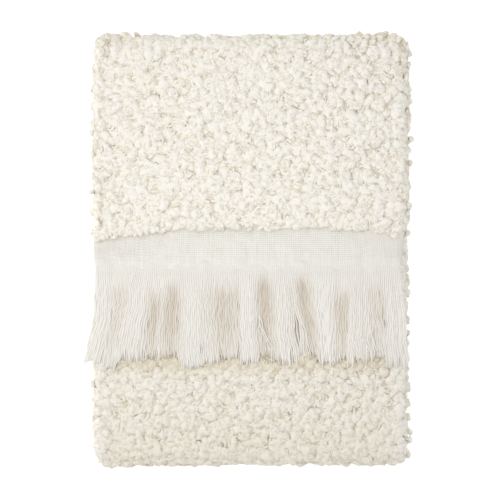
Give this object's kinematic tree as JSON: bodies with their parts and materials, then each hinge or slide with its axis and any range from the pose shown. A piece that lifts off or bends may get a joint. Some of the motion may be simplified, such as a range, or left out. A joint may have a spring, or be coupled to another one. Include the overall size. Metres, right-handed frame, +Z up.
{
  "type": "boucle fringe throw",
  "caption": "Ivory boucle blanket folded into a soft rectangular pile, with its plain woven band and loose warp fringe lying across the front.",
  "frame": {"origin": "on the surface that the folded throw lies on, under the middle of its outline", "axes": "+Z up, +Y from the front edge to the back edge, +X across to the thick folded side"},
  "size_m": [0.3368, 0.4548, 0.0693],
  "materials": {
    "boucle_cloth": "matt ivory boucle with a plain woven band",
    "warp_yarn": "matt ivory loose yarn"
  },
  "bodies": {
    "root": {"boucle_throw": "boucle_cloth", "warp_fringe": "warp_yarn"}
  },
  "joints": []
}
